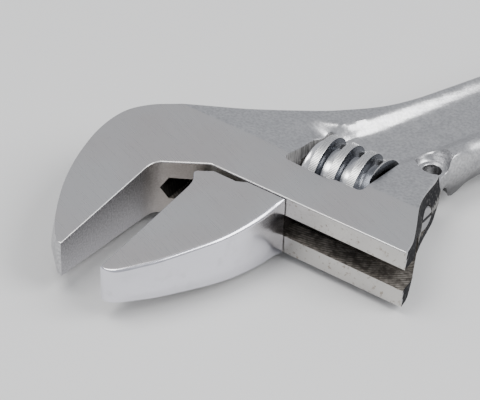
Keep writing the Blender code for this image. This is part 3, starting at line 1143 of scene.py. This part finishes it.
@dataclass
class Forging(Plate):
    """Handle, head and fixed jaw in one piece, with channel, window, pin bore and holes."""

    wedge: HeadWedge = field(default_factory=HeadWedge)
    handle: HandleAxis = field(default_factory=HandleAxis)
    tip_y: float = -15.6
    throat_y: float = 15.9
    throat_x: float = 11.6
    end_x: float = 64.8
    bulge: float = 0.75
    edge: float = 0.32
    left_rounding: float = 1.2
    right_rounding: float = 3.6
    panel: SunkPanel = field(default_factory=SunkPanel)
    window: tuple[float, float, float, float] = (24.0, 45.4, 36.7, 56.7)
    window_corner: float = 1.4
    hang_radius: float = 5.5
    tether: Triple = (50.0, 61.4, 2.3)
    pocket_reach: float = 0.62
    pocket_facing: Point = (0.56, -0.83)
    pocket_bank: Point = (3.5, 4.7)
    pocket_lines: tuple[float, ...] = (3.05, 3.4, 3.75, 4.05, 4.35, 4.7, 5.2)
    web_half: float = 2.2
    slot_half: float = 3.05
    slot_x: Point = (1.4, 3.2)
    bore_x: float = 1.6
    bore_y: float = 33.8
    bore_radius: float = 4.5
    pin_x: Point = (20.0, 49.0)
    pin_y: float = 46.4
    pin_radii: Point = (2.7, 3.7)

    def trace(self) -> None:
        """Works out the outline and the holes.

        The way round is: gripping face, throat, front edge, head's end, handle's right side, round
        end, left side and the back of the fixed jaw.
        """
        w, h, tip = self.wedge, self.handle, self.tip_y
        flat = [
            straight((0.0, tip), (0.0, self.throat_y), LONG),
            smooth_curve([(0.0, self.throat_y), (0.4, 17.7), (1.4, 19.0)], FINE)[1:],
            straight((1.4, 19.0), (self.throat_x, w.front_y), LONG)[1:],
            straight((self.throat_x, w.front_y), (self.end_x, w.front_y), LONG)[1:],
        ]
        right, left = h.side(1), h.side(-1)
        end = [
            (self.end_x, w.front_y), (64.0, 29.0), (61.8, 34.0), (58.9, 40.0), (57.0, 46.0),
            (55.6, 53.5), (54.4, 57.0), (53.4, 61.0), (54.4, 66.5),
        ]
        back = [
            (30.2, 73.8), (22.0, 64.3), (14.5, 57.8), (5.5, 49.5), (-1.2, 44.0), (-7.4, w.ridge_y),
            (-13.2, 34.6), (-17.0, 29.0), (-17.9, 20.9), (-16.3, 11.4), (-13.4, 2.7), (-9.6, -4.8),
            (-5.0, -11.8), (-1.2, tip),
        ]
        round_part = np.vstack(
            [
                smooth_curve(end + right, LONG)[1:-1],
                h.round_end(48)[:-1],
                smooth_curve(left[::-1] + back, LONG),
            ]
        )
        steps = np.linalg.norm(np.diff(round_part, axis=0, prepend=round_part[:1]), axis=1)
        run = np.cumsum(steps)
        along, across = h.split(round_part[:, 0], round_part[:, 1])
        points = np.vstack([*flat, round_part])
        straight_count = len(points) - len(round_part)
        bulge = self.bulge * ease(0, 5, run) * ease(0, 5, run[-1] - run)
        full = self.left_rounding + (self.right_rounding - self.left_rounding) * ease(-7, 7, across)
        turn = self.edge + 0.5 * ease(38, 50, round_part[:, 1]) + full * ease(40, 60, along)
        gap = np.hypot(round_part[:, 0] - self.tether[0], round_part[:, 1] - self.tether[1])
        turn = self.edge + (turn - self.edge) * ease(4.5, 11.0, gap)
        self.outline = Loop(
            points,
            np.concatenate([np.full(straight_count, self.edge), turn]),
            np.concatenate([np.zeros(straight_count), bulge]),
        )
        hanging = self.round_hole(*h.point(h.end, 0.0), self.hang_radius, 0.7)
        self.holes = [self.window_loop(), hanging, self.round_hole(*self.tether, 0.3)]
        x = np.arange(-12.0, 62.0, TIGHT)
        self.creases = [np.stack([x, np.full(len(x), w.ridge_y)], 1)]
        self.creases += [self.pocket_line(radius) for radius in self.pocket_lines]

    def pocket_distance(self, x: Array, y: Array) -> Array:
        """Distance from the lanyard hole, shortened on the side that faces the head's end.

        Args:
            x: places along X.
            y: places along Y.

        Returns:
            The distances.
        """
        u, v = x - self.tether[0], y - self.tether[1]
        a, b = self.pocket_facing
        near, aside = a * u + b * v, a * v - b * u
        return np.hypot(np.where(near > 0, near * self.pocket_reach, near), aside)

    def pocket_line(self, radius: float) -> Array:
        """Closed line on which the pocket's distance equals a radius.

        Args:
            radius: the distance that it keeps.

        Returns:
            The points of the line, one row each.
        """
        ring = circle(0.0, 0.0, radius, int(radius * 16))
        near = np.where(ring[:, 0] > 0, ring[:, 0] / self.pocket_reach, ring[:, 0])
        a, b = self.pocket_facing
        x = self.tether[0] + a * near - b * ring[:, 1]
        y = self.tether[1] + b * near + a * ring[:, 1]
        return np.stack([x, y], 1)

    def window_loop(self) -> Loop:
        """Rectangle with rounded corners, run clockwise.

        Returns:
            The loop.
        """
        x0, x1, y0, y1 = self.window
        r = self.window_corner
        quarter = np.linspace(0, np.pi / 2, 5)
        centres = ((x1 - r, y0 + r), (x1 - r, y1 - r), (x0 + r, y1 - r), (x0 + r, y0 + r))
        corners = []
        for (cx, cy), turn in zip(centres, (3, 0, 1, 2)):
            t = quarter + turn * np.pi / 2
            corners.append(np.stack([cx + r * np.cos(t), cy + r * np.sin(t)], 1))
        ring = []
        for a, b in zip(corners, corners[1:] + corners[:1]):
            ring += [a, straight(tuple(a[-1]), tuple(b[0]), LONG)[1:-1]]
        points = np.vstack(ring)[::-1]
        return Loop(points, np.full(len(points), 0.28), np.zeros(len(points)))

    def round_hole(self, x: float, y: float, radius: float, rounding: float) -> Loop:
        """Circular hole, run clockwise."""
        points = circle(x, y, radius, max(36, int(radius * 14)))[::-1]
        return Loop(points, np.full(len(points), rounding), np.zeros(len(points)))

    def height(self, x: Array, y: Array) -> Array:
        """Half thickness: the head's wedge, less the handle's sunk panel and the lanyard pocket.

        Args:
            x: places along X.
            y: places along Y.

        Returns:
            Half the thickness at each place.
        """
        along, across = self.handle.split(x, y)
        sunk = self.panel.share(along, across)
        z = self.wedge.half(y) * (1 - sunk) + self.panel.level.at(along) * sunk
        pocket = 1 - ease(*self.pocket_bank, self.pocket_distance(x, y))
        return z * (1 - pocket) + self.web_half * pocket

    def tools(self) -> list[tuple[Join, Piece]]:
        """Solids that cut the channel with its pointed end, the rack's bore and the pin's bore.

        Returns:
            What to do with each solid, in order.
        """
        past, s = self.end_x + 6.0, self.slot_half
        point, full = self.slot_x
        ring = np.array([(point, 0.0), (full, -s), (past, -s), (past, s), (full, s)])
        rows = [np.column_stack([ring[:, 0], np.full(5, y), ring[:, 1]]) for y in (14.0, self.bore_y)]
        verts = np.vstack(rows)
        quads = grid_quads(2, 5, True)
        caps = np.array([[0, 1, 2, 3, 4], [9, 8, 7, 6, 5]])
        slot = write_mesh("tool_slot", verts, [quads[:, ::-1], caps])
        run = np.array([(self.bore_x, self.bore_radius), (past, self.bore_radius)])
        bore = turned_solid("tool_bore", run, self.bore_y, 72)
        narrow, wide = self.pin_radii
        start, shoulder = self.pin_x
        steps = np.array([(start, narrow), (shoulder, narrow), (shoulder, wide), (past, wide)])
        pin = turned_solid("tool_pin", steps, self.pin_y, 48)
        for tool in (slot, bore, pin):
            face_out(tool)
        return [(Join.CUT, slot), (Join.CUT, bore), (Join.CUT, pin)]

    def faces(self, obj: Piece) -> Array:
        """Chooses each face's material from where it lies and which way it looks.

        Args:
            obj: the cut forging.

        Returns:
            A BodyFace for each face.
        """
        centre, normal = face_facts(obj)
        x, y, z = centre.T
        nx, ny, nz = normal.T
        steep, front = np.abs(nz), self.wedge.front_y
        choice = np.full(len(centre), BodyFace.BLASTED)
        choice[(y < self.wedge.ridge_y) & (steep > 0.3)] = BodyFace.GROUND
        # steep sides take a darker copy of the blasted finish: painted shade
        choice[steep < 0.5] = BodyFace.SHADED_FLANK
        side = steep < 0.3
        lip = within(y, self.throat_y - 0.2, front + 0.5) & within(x, -0.5, self.end_x + 1.2)
        choice[side & lip & (ny < -0.2)] = BodyFace.LIP
        choice[side & within(x, -0.6, 10.5) & (nx > 0.4) & (y < front)] = BodyFace.GRIP
        choice[side & (x > 54.0) & within(y, front + 0.3, 58.0) & (nx > 0.5)] = BodyFace.RAW
        x0, x1, y0, y1 = self.window
        walls = within(x, x0 - 0.1, x1 + 0.1) & within(y, y0 - 0.1, y1 + 0.1)
        choice[side & walls] = BodyFace.WINDOW
        slot = (np.abs(np.abs(z) - self.slot_half) < 0.05) & (steep > 0.9) & (y < self.bore_y) & (x > 1.2)
        radial = np.hypot(y - self.bore_y, z)
        bore = (np.abs(radial - self.bore_radius) < 0.12) & (x > 1.5) & (np.abs(nx) < 0.1)
        pin = (np.hypot(y - self.pin_y, z) < self.pin_radii[1] + 0.05) & (x > 19)
        choice[slot | bore | pin] = BodyFace.CHANNEL
        # Faces seen deep through the throat's hole and the channel's near end take painted shade.
        point = within(x, 1.3, 3.3) & within(y, 17, 39) & (np.abs(z) < self.slot_half)
        point &= (nx > 0.3) & (np.abs(ny) < 0.2)
        bore_end = (np.abs(z) < 4.6) & within(x, 1.3, 2) & (nx > 0.9) & (y > front)
        choice[point | bore_end | ((slot | bore) & (x < 9))] = BodyFace.SHADE
        return choice

    def make(self) -> Piece:
        """Builds, cuts and dresses the forging.

        Returns:
            The finished piece.
        """
        self.trace()
        obj = self.build()
        combine(obj, self.tools())
        shade(obj, SMOOTH)
        finishes = [
            BlastedChrome(), GroundFace(), GripFace(), LipFace(), MilledChannel(), RawForging(),
            # the near-black copy of the milled finish is painted shade
            WindowWall(), MilledChannel("channel_end_shade", (0.012, 0.011, 0.010), (0.05, 0.047, 0.042)),
            # darker copy of the blasted finish for the steep sides, with more painted shade on their lower
            # half
            BlastedChrome("blasted_flank_shaded", (0.60, 0.60, 0.61), (0.42, 0.42, 0.43), 0.38, 0.035, 0.85),
        ]
        dress(obj, finishes, self.faces(obj))
        return obj


class JawFace(IntEnum):
    """Material slots of the sliding jaw."""

    GROUND = 0
    GRIP = 1
    SIDE = 2
    LIP = 3
    RACK = 4


@dataclass
class SlidingJaw(Plate):
    """Jaw, neck and rack rod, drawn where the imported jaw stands."""

    wedge: HeadWedge = field(default_factory=HeadWedge)
    face_x: float = 11.8
    base_x: float = 32.65
    base_y: float = 24.7
    edge: float = 0.35
    crown: float = 0.85
    neck_half: float = 2.75
    rod_y: float = 33.8
    rod_radius: float = 4.2
    rod_chamfer: float = 0.5
    rod_ends: Point = (6.2, 42.4)
    pitch: float = 5.2
    tooth_from: float = 30.9
    root_y: float = 36.05
    groove_halves: Point = (1.15, 1.75)
    thread_radius: float = 9.0

    def height(self, x: Array, y: Array) -> Array:
        """Half thickness of the head's wedge plane."""
        return self.wedge.half(y)

    def trace(self) -> None:
        """Works out the outline: face, nose, shoulder, base, crowned outer side and blunt tip."""
        nose = [(self.face_x, 16.0), (11.5, 18.0), (10.8, 19.3), (10.0, 20.4), (10.1, 21.3)]
        flat = [
            straight((self.face_x, -16.3), (self.face_x, 16.0), LONG),
            smooth_curve(nose, FINE)[1:],
            straight(nose[-1], (13.6, 23.5), TIGHT)[1:],
            straight((13.6, 23.5), (19.8, 23.5), LONG)[1:],
            straight((19.8, 23.5), (22.3, self.base_y), LONG)[1:],
            straight((22.3, self.base_y), (self.base_x, self.base_y), LONG)[1:-1],
        ]
        outer = [
            (self.base_x, self.base_y), (32.4, 20.8), (31.8, 16.0), (30.3, 10.0), (28.5, 5.2), (26.3, 0.8),
            (21.6, -7.7), (19.0, -11.4), (17.0, -14.1), (15.4, -15.8), (13.8, -16.5), (12.6, -16.6),
        ]
        curve = smooth_curve(outer, TIGHT)
        run = np.cumsum(np.linalg.norm(np.diff(curve, axis=0, prepend=curve[:1]), axis=1))
        points = np.vstack([*flat, curve])
        count = len(points) - len(curve)
        crown = self.crown * ease(0, 6, run) * ease(0, 5, run[-1] - run)
        full = 0.5 + 0.45 * (1 - ease(4, 26, run))
        turn = self.edge + full * ease(0, 2.5, run) * ease(0, 4, run[-1] - run)
        self.outline = Loop(
            points[::-1],
            np.concatenate([np.full(count, self.edge), turn])[::-1],
            np.concatenate([np.zeros(count), crown])[::-1],
        )

    def tools(self) -> list[tuple[Join, Piece]]:
        """Neck and rod to add, and one leaned groove for each of the rack's teeth to cut.

        Returns:
            What to do with each solid, in order.
        """
        low, high = (14.0, 22.0, -self.neck_half), (self.base_x - 1.2, self.rod_y - 1.0, self.neck_half)
        neck = block("tool_neck", low, high)
        a, b = self.rod_ends
        r = self.rod_radius
        c = self.rod_chamfer
        profile = np.array([(a, r - c), (a + c, r), (b - c, r), (b, r - c)])
        rod = turned_solid("tool_rod", profile, self.rod_y, 72)
        made = [(Join.ADD, neck), (Join.ADD, rod)]
        lean = self.pitch / (2 * math.pi * self.thread_radius)
        first = math.floor((a - self.tooth_from) / self.pitch)
        last = math.floor((b - self.tooth_from) / self.pitch)
        root, mouth = self.groove_halves
        corners = np.array([(-root, self.root_y), (root, self.root_y), (mouth, 40.0), (-mouth, 40.0)])
        caps = np.array([[3, 2, 1, 0], [4, 5, 6, 7]])
        for k in range(first, last + 1):
            x = corners[:, 0] + self.tooth_from + k * self.pitch
            rings = [np.column_stack([x - lean * z, corners[:, 1], np.full(4, z)]) for z in (-6.0, 6.0)]
            faces = [grid_quads(2, 4, True), caps]
            made.append((Join.CUT, write_mesh(f"tool_tooth_{k - first}", np.vstack(rings), faces)))
        for _, tool in made:
            face_out(tool)
        return made

    def faces(self, obj: Piece) -> Array:
        """Chooses each face's material from where it lies and which way it looks.

        Args:
            obj: the cut jaw.

        Returns:
            A JawFace for each face.
        """
        centre, normal = face_facts(obj)
        x, y, z = centre.T
        nx, _, nz = normal.T
        choice = np.full(len(centre), JawFace.SIDE)
        choice[np.abs(nz) > 0.93] = JawFace.GROUND
        side = np.abs(nz) < 0.35
        choice[side & (nx < -0.8) & (x < 12.0)] = JawFace.GRIP
        choice[side & (y > 16.0) & (x < 20.0)] = JawFace.LIP
        choice[(np.abs(z) < 4.3) & ((y > 24.8) | ((np.abs(z) < 2.8) & (np.abs(nz) > 0.9)))] = JawFace.RACK
        return choice

    def make(self) -> Piece:
        """Builds, joins, cuts and dresses the jaw.

        Returns:
            The finished piece.
        """
        self.trace()
        obj = self.build()
        combine(obj, self.tools())
        shade(obj, SMOOTH)
        side = BrightPlate("jaw_side", (0.76, 0.755, 0.81), 0.2, (0.4, 0.4, 3.0), 0.006)
        rack = BrightPlate("rack_steel", (0.42, 0.41, 0.40), 0.3, (3.0, 0.5, 0.5), 0.01)
        dress(obj, [GroundFace(), GripFace(), side, LipFace(), rack], self.faces(obj))
        return obj


class ThreadFace(IntEnum):
    """Material slots of the worm's thread: a painted highlight on the crest, painted shade on the flanks
    and notches.
    """

    HIGHLIGHT_CREST = 0
    SHADED_FLANK = 1
    SHADED_NOTCH = 2


@dataclass
class Worm:
    """Knurl turned by the thumb: a bored core with hubs, and a serrated helical thread on it."""

    y: float = 46.4
    ends: Point = (26.6, 44.6)
    core: float = 7.3
    hub: float = 8.6
    far_hub: float = 7.95
    rim: float = 0.3
    crest: float = 9.95
    pitch: float = 5.2
    start_x: float = 28.3
    turns: float = 3.4
    crest_half: float = 0.92
    flank_half: float = 1.12
    serrations: int = 168
    serration_depth: float = 0.14
    serration_marks: tuple[float, ...] = (0.0, 0.34, 0.5, 0.66)
    sides: int = 192
    bore: float = 2.7
    seat: float = 4.9
    seat_depth: float = 4.2

    def core_profile(self) -> Array:
        """Half section that runs up the hub, along the core, down the far end and back in the bore.

        Returns:
            Rows of x and radius.
        """
        a, b = self.ends
        r, top, hub = self.rim, self.far_hub, self.hub - 2 * self.rim
        t = np.linspace(0, np.pi / 2, 5)
        left = np.stack([a + r - r * np.cos(t), hub - r + r * np.sin(t)], 1)
        fall = np.linspace(0, 1, 9)[1:]
        dip = np.stack([a + r + 2.4 * fall, hub - (hub - self.core) * ease(0, 1, fall)], 1)
        rise = np.linspace(0, 1, 11)
        climb = np.stack([b - 3.4 + 3.1 * rise, self.core + (top - self.core) * rise**1.4], 1)
        right = np.stack([b - r + r * np.sin(t), top - r + r * np.cos(t)], 1)[1:]
        seat_x = b - self.seat_depth
        inner = [(b, self.seat), (seat_x, self.seat), (seat_x, self.bore), (a, self.bore)]
        return np.vstack([left, dip, climb, right, inner])

    def core_mesh(self) -> Piece:
        """Ring solid: the closed half section carried round the axis.

        Returns:
            The core.
        """
        section = self.core_profile()
        sides = self.sides
        t = np.linspace(0, 2 * np.pi, sides, endpoint=False)[:, None]
        x = np.broadcast_to(section[:, 0], (sides, len(section)))
        y = self.y + section[:, 1] * np.cos(t)
        z = section[:, 1] * np.sin(t)
        verts = np.stack([x, y, z], -1).reshape(-1, 3)
        rows = grid_quads(sides + 1, len(section), True) % len(verts)
        obj = write_mesh("worm_core", verts, [rows], WORM_SMOOTH)
        face_out(obj)
        return obj

    def thread_mesh(self) -> Piece:
        """Thread: a ridge section carried along the helix, its crest notched by fine axial grooves.

        At angle t the section stands at start + pitch t / 2 pi. Each notch is a V that takes the
        middle of its share of the turn, the flanks flare into the core in a fillet, the first
        stretch rises out of the core, and the last is cut off flush with the worm's end.

        Returns:
            The thread.
        """
        marks = np.array(self.serration_marks)
        whole = np.arange(int(self.turns * self.serrations))
        t = ((whole[:, None] + marks[None, :]).ravel()) * 2 * np.pi / self.serrations
        notch = np.tile([0.0, 0.0, 1.0, 0.0], len(whole)) * self.serration_depth
        low = self.core - 0.7
        crest_edge = [self.crest_half + 0.12, self.crest_half + 0.08, self.crest_half]
        half = [1.75, 1.42, 1.25, self.flank_half, *crest_edge]
        rise = [0.0, 0.22, 0.34, 0.52, 0.93, 0.985, 1.0]
        x_side = np.concatenate([-np.array(half), np.array(half[::-1])])
        share = np.concatenate([rise, rise[::-1]])
        crest = (share > 0.95).astype(float)
        fade = 0.05 + 0.95 * ease(0, 0.35, t)
        r = low + (self.crest - low) * share[None, :] * fade[:, None]
        r = r - (notch * fade)[:, None] * crest[None, :]
        x = self.start_x + self.pitch * t[:, None] / (2 * np.pi) + x_side[None, :]
        y = self.y + r * np.cos(t)[:, None]
        z = r * np.sin(t)[:, None]
        verts = np.stack([x, y, z], -1).reshape(-1, 3)
        steps, count = x.shape
        quads = grid_quads(steps, count, True)
        caps = np.array([np.arange(count), (steps - 1) * count + np.arange(count)[::-1]])
        obj = write_mesh("worm_thread", verts, [quads, caps[:, ::-1]], WORM_SMOOTH)
        face_out(obj)
        end, wide = self.ends[1], self.crest + 2
        past = (end + 2 * self.pitch, self.y + wide, wide)
        tool = block("tool_end", (end, self.y - wide, -wide), past)
        face_out(tool)
        combine(obj, [(Join.CUT, tool)])
        shade(obj, WORM_SMOOTH)
        return obj

    def thread_faces(self, obj: Piece) -> Array:
        """Chooses crest, flank or notch for each face of the thread by the way it looks, which sets its
        painted highlight or painted shade.

        Args:
            obj: the thread.

        Returns:
            A ThreadFace for each face.
        """
        centre, normal = face_facts(obj)
        arm = centre[:, 1:] - (self.y, 0.0)
        radius = np.linalg.norm(arm, axis=1)
        outward = (normal[:, 1:] * arm).sum(1) / radius
        round_about = np.abs(normal[:, 1] * arm[:, 1] - normal[:, 2] * arm[:, 0]) / radius
        choice = np.where(outward > 0.6, ThreadFace.HIGHLIGHT_CREST, ThreadFace.SHADED_FLANK)
        choice[(round_about > 0.3) & (radius > self.crest - 0.3)] = ThreadFace.SHADED_NOTCH
        return choice

    def make(self) -> list[Piece]:
        """Builds and dresses the worm's two pieces.

        Returns:
            The core and the thread.
        """
        core, thread = self.core_mesh(), self.thread_mesh()
        dress(core, [BrightPlate("worm_plate", (0.86, 0.86, 0.875), 0.2)])
        # one plate in three colours: the crest's white is a painted highlight, the flanks' and notches'
        # darkness painted shade
        finishes = [
            BrightPlate("worm_crest_highlight", (0.97, 0.97, 0.97), 0.34),
            BrightPlate("worm_flank_shade", (0.17, 0.18, 0.20), 0.25),
            BrightPlate("worm_notch_shade", (0.03, 0.03, 0.033), 0.5),
        ]
        dress(thread, finishes, self.thread_faces(thread))
        return [core, thread]


# ---------------------------------------------------------------- studio


def direction(azimuth: float, elevation: float) -> Vector:
    """Unit direction from degrees turned from -Y towards +X and degrees above the floor."""
    a, e = math.radians(azimuth), math.radians(elevation)
    return Vector((math.sin(a) * math.cos(e), -math.cos(a) * math.cos(e), math.sin(e)))


@dataclass
class Studio:
    """Pale floor, soft lights and the camera."""

    floor_z: float = -10.05
    azimuth: float = 33.956
    elevation: float = 38.042
    roll: float = 2.289
    distance: float = 465.33
    target: Triple = (19.09, 26.52, 0.0)
    lens: float = 150.0
    head: Triple = (30.0, 40.0, 0.0)
    panel_distance: float = 900.0
    floor_half: float = 2500.0
    floor_paints: tuple[Colour, Colour] = ((0.70, 0.70, 0.70), (0.76, 0.76, 0.755))
    sky_colour: Colour = (0.93, 0.95, 1.0)
    sky_strength: float = 0.62

    def camera(self) -> Piece:
        """Camera that looks at the target from its azimuth and elevation, rolled a little.

        Returns:
            The camera.
        """
        a, r = math.radians(self.azimuth), math.radians(self.roll)
        back = direction(self.azimuth, self.elevation)
        right = Vector((math.cos(a), math.sin(a), 0))
        up = back.cross(right)
        across = right * math.cos(r) + up * math.sin(r)
        above = up * math.cos(r) - right * math.sin(r)
        data = bpy.data.cameras.new("camera")
        data.lens = self.lens
        data.sensor_width = 36.0
        data.clip_start = 0.01
        data.clip_end = 20.0
        obj = bpy.data.objects.new("camera", data)
        turn = Matrix((across, above, back)).transposed().to_4x4()
        place = (Vector(self.target) + back * self.distance) * MM
        obj.matrix_world = Matrix.Translation(place) @ turn
        bpy.context.scene.collection.objects.link(obj)
        bpy.context.scene.camera = obj
        return obj

    def floor(self) -> Piece:
        """Flat pale floor with a faint mottle.

        Returns:
            The floor.
        """
        t = np.array([-self.floor_half, self.floor_half])
        x, y = np.meshgrid(t, t)
        verts = np.stack([x.ravel(), y.ravel(), np.full(4, self.floor_z)], 1)
        obj = write_mesh("floor", verts, [np.array([(0, 1, 3, 2)])])
        made = Recipe("floor_paint")
        mottle = made.noise(made.place(), 0.004, 3.0)
        colour = made.mix(mottle, *self.floor_paints)
        obj.data.materials.append(made.finish(colour, 0.7))
        return obj

    def panel(self, name: str, seen_from: Point, size: float, power: float, colour: Colour) -> None:
        """Square soft light that looks at the head from an azimuth and elevation.

        Args:
            name: the light's name.
            seen_from: degrees from -Y towards +X, and degrees above the floor.
            size: side of the square in metres.
            power: watts.
            colour: light colour.
        """
        back = direction(*seen_from)
        data = bpy.data.lights.new(name, "AREA")
        data.shape = "SQUARE"
        data.size = size
        data.energy = power
        data.color = colour
        obj = bpy.data.objects.new(name, data)
        obj.location = (Vector(self.head) + back * self.panel_distance) * MM
        obj.rotation_mode = "QUATERNION"
        obj.rotation_quaternion = back.to_track_quat("Z", "Y")
        bpy.context.scene.collection.objects.link(obj)

    def sky(self) -> None:
        """Even pale surroundings."""
        world = bpy.data.worlds.new("sky")
        bpy.context.scene.world = world
        world.use_nodes = True
        shader = world.node_tree.nodes["Background"]
        shader.inputs["Color"].default_value = (*self.sky_colour, 1.0)
        shader.inputs["Strength"].default_value = self.sky_strength

    def make(self) -> None:
        """Sets up everything that isn't the wrench."""
        self.camera()
        self.floor()
        self.sky()
        self.panel("right_panel", (105, 45), 0.55, 7.0, (1.0, 1.0, 1.0))
        self.panel("overhead_panel", (-40, 72), 0.5, 5.0, (1.0, 0.99, 0.97))


def main() -> None:
    """Builds the wrench piece by piece round the frame, then the studio."""
    logging.basicConfig(level=logging.INFO, format="%(message)s")
    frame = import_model()
    nodes = frame["nodes"]
    body = Forging("wrench_body", None, [], SideForm.DRAFTED, 0.95).make()
    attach(body, "frame")
    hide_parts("body")
    LOG.info("forging: %d faces", len(body.data.polygons))
    jaw = SlidingJaw("sliding_jaw", None, [], SideForm.CROWNED, 0.95).make()
    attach(jaw, "jaw")
    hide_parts("movable_jaw")
    LOG.info("sliding jaw: %d faces", len(jaw.data.polygons))
    core, thread = Worm().make()
    for piece in (core, thread):
        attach(piece, "worm")
        LOG.info("%s: %d faces", piece.name, len(piece.data.polygons))
    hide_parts("knurl")
    dress(nodes["knurl_pin"], [BrightPlate("pin_steel", (0.30, 0.30, 0.31), 0.3)])
    dress(nodes["knurl_spring"], [BrightPlate("spring_steel", (0.45, 0.45, 0.46), 0.25)])
    Studio().make()


if __name__ == "__main__":
    main()
